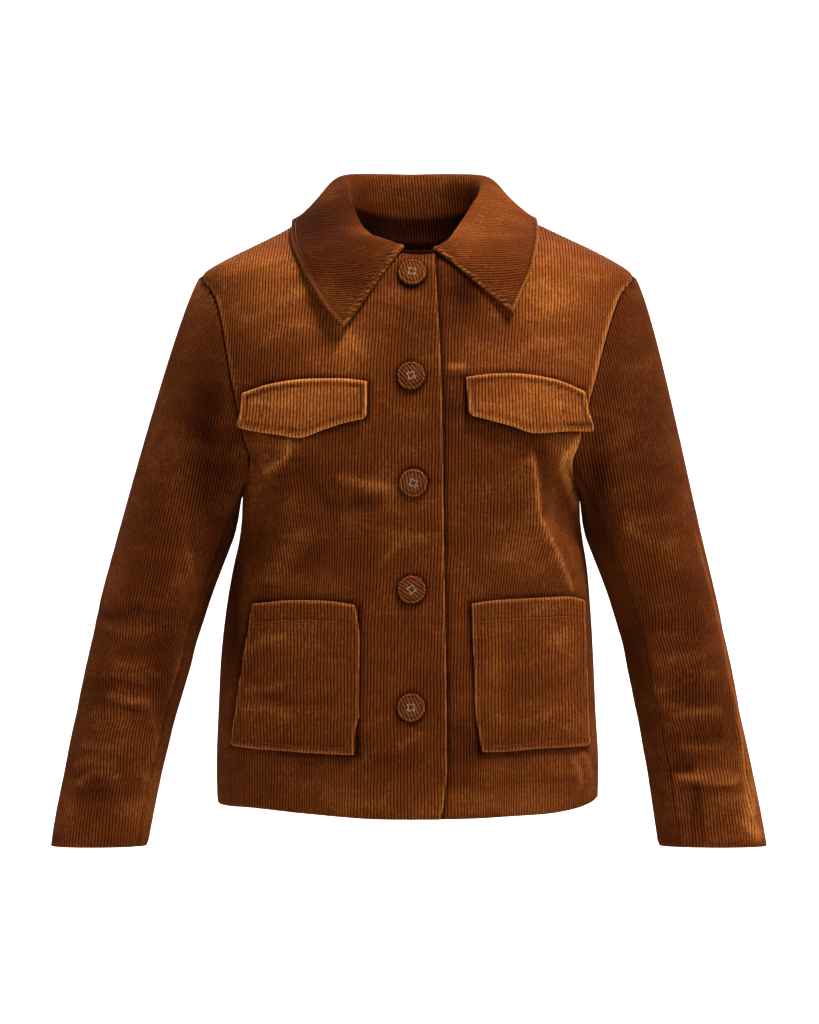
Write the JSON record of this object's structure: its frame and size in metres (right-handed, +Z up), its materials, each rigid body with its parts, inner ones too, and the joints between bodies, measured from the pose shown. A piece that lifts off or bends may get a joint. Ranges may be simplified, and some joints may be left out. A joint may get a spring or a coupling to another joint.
{
  "type": "corduroy jacket",
  "caption": "Cropped rust-brown corduroy jacket, buttoned up, with a pointed collar, chest flaps and patch pockets, filled out as if worn",
  "frame": {"origin": "middle of the neck, level with the inner ends of the shoulders, where the wearer holds the jacket up", "axes": "+X to the wearer's left, -Y to the front, +Z up"},
  "size_m": [0.7064, 0.246, 0.6826],
  "materials": {
    "corduroy": "rust-brown cotton corduroy with wide ribs and a soft nap",
    "covered_button": "button covered with the same cloth, with a cross of pale thread"
  },
  "bodies": {
    "root": {"right_front": "corduroy", "left_front": "corduroy", "back": "corduroy", "upper_collar": "corduroy", "under_collar": "corduroy", "left_top_sleeve": "corduroy", "left_under_sleeve": "corduroy", "right_top_sleeve": "corduroy", "right_under_sleeve": "corduroy", "left_chest_flap": "corduroy", "right_chest_flap": "corduroy", "left_hip_pocket": "corduroy", "right_hip_pocket": "corduroy", "button_1": "covered_button", "button_2": "covered_button", "button_3": "covered_button", "button_4": "covered_button", "button_5": "covered_button"}
  },
  "joints": []
}
